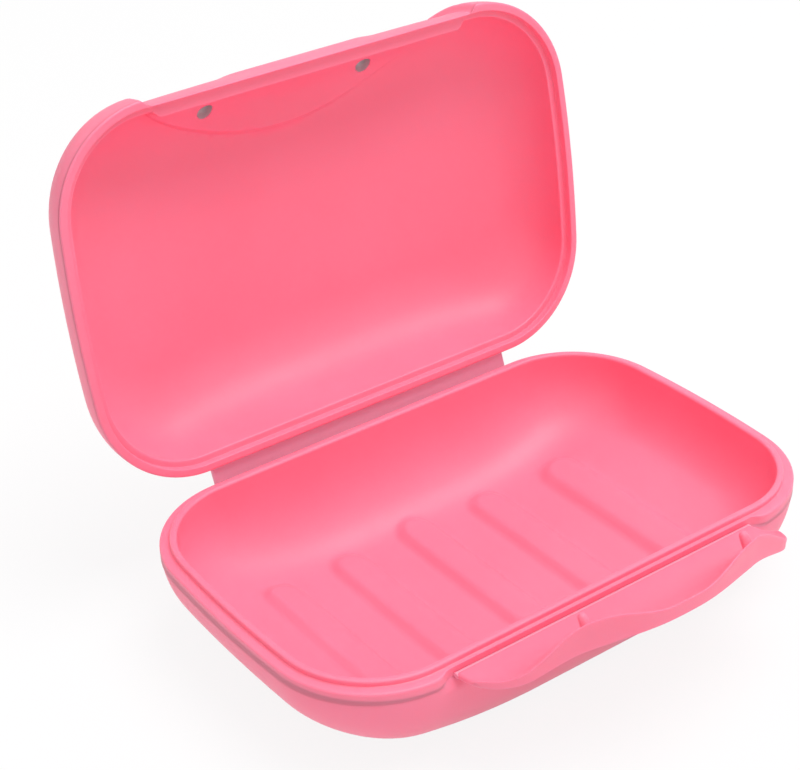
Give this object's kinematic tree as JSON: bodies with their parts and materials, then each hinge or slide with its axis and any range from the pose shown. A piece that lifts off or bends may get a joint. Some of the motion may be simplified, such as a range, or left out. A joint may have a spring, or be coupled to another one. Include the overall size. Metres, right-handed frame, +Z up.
{
  "type": "travel soap box",
  "caption": "Pocket soap box with a domed lid folding on a rear strap, a ribbed draining floor, and a front flap whose pegs snap into holes in the lid.",
  "frame": {"origin": "middle of the flat foot on the ground, under the centre of the tray's rim", "axes": "+X to the right along the width, +Y back towards the folding strap, -Y towards the latch flap, +Z up"},
  "size_m": [0.112, 0.1159, 0.0933],
  "materials": {
    "body_pink": "satin moulded polypropylene, slightly translucent",
    "thin_pink": "thin folded polypropylene that lets light through"
  },
  "bodies": {
    "tray": {"base_tray": "body_pink", "rim_lip": "body_pink", "drain_ribs": "body_pink", "latch_web": "thin_pink"},
    "strap": {"hinge_strap": "thin_pink"},
    "lid": {"lid_shell": "body_pink", "latch_seat": "body_pink"},
    "latch": {"latch_flap": "body_pink", "latch_pegs": "body_pink"}
  },
  "joints": [
    {"name": "strap_fold", "type": "hinge", "parent": "tray", "child": "strap", "pos_m": [0, 0.0359, 0.01795], "axis": [-1, 0, 0], "range_deg": [-20.3, 15.9]},
    {"name": "lid_fold", "type": "hinge", "parent": "strap", "child": "lid", "pos_m": [0, 0.0376, 0.02255], "axis": [-1, 0, 0], "range_deg": [-78.5, 61]},
    {"name": "latch_fold", "type": "hinge", "parent": "tray", "child": "latch", "pos_m": [0, -0.0353, 0.0191], "axis": [1, 0, 0], "range_deg": [-73, 45]}
  ],
  "couplings": [
    {"joint": "strap_fold", "follows": "lid_fold", "ratio": 0.25859}
  ]
}
